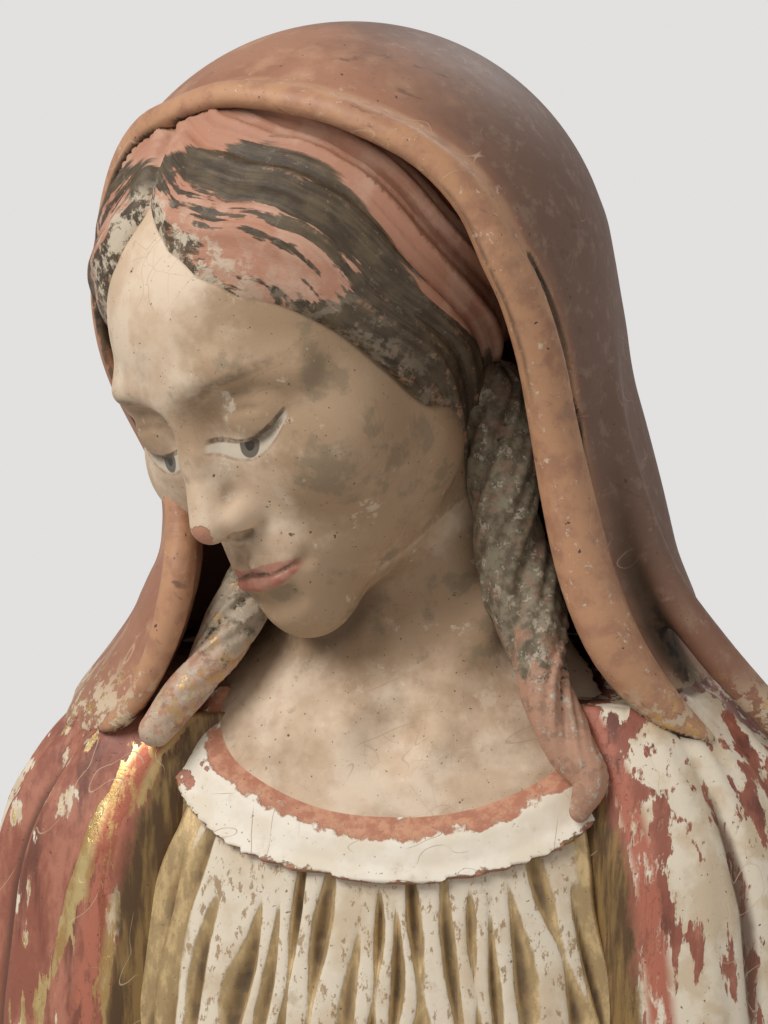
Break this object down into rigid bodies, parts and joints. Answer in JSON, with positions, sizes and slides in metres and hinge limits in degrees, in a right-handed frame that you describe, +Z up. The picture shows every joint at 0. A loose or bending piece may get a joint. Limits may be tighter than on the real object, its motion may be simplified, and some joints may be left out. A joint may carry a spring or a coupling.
{
  "type": "madonna statue",
  "caption": "Standing devotional figure of a veiled woman praying with bowed head, in hollow painted and gilded terracotta on a moulded plinth.",
  "frame": {"origin": "middle of the plinth's underside, on the surface that the statue stands on", "axes": "+Z up, the figure faces -Y, +X is the figure's left side"},
  "size_m": [0.272, 0.252, 0.9978],
  "materials": {
    "bare_terracotta": "matt fired clay, lightly rubbed",
    "flesh_paint": "aged flesh paint on gesso, eggshell sheen",
    "hair_paint": "worn dark brown paint over terracotta",
    "veil_terracotta": "satin worn terracotta",
    "tunic_gesso": "white gesso with gold leaf left in the pleats",
    "band_gesso": "white gesso with terracotta showing at the rim",
    "mantle_bole": "red bole with worn gold leaf and gesso",
    "gilt": "burnished gold leaf, rubbed",
    "iron": "forged iron, brown patina"
  },
  "bodies": {
    "root": {"plinth": "bare_terracotta", "terrace": "bare_terracotta", "shoe_left": "gilt", "shoe_right": "gilt", "tunic_skirt": "tunic_gesso", "tunic_bodice": "tunic_gesso", "neckline_band": "band_gesso", "girdle": "gilt", "girdle_tails": "gilt", "mantle_front_left": "mantle_bole", "mantle_front_right": "mantle_bole", "mantle_back_lower": "mantle_bole", "mantle_back_upper": "mantle_bole", "lower_web": "bare_terracotta", "upper_web": "bare_terracotta", "sleeve_left": "tunic_gesso", "sleeve_right": "tunic_gesso", "hand_left": "flesh_paint", "hand_right": "flesh_paint", "wrist_pins": "iron", "section_pins": "iron", "head": "flesh_paint", "hair": "hair_paint", "lock_left": "hair_paint", "lock_right": "hair_paint", "veil": "veil_terracotta", "tie_rod": "iron", "base_plate": "iron", "base_nut": "iron", "top_plate": "iron", "top_nut": "iron"}
  },
  "joints": []
}
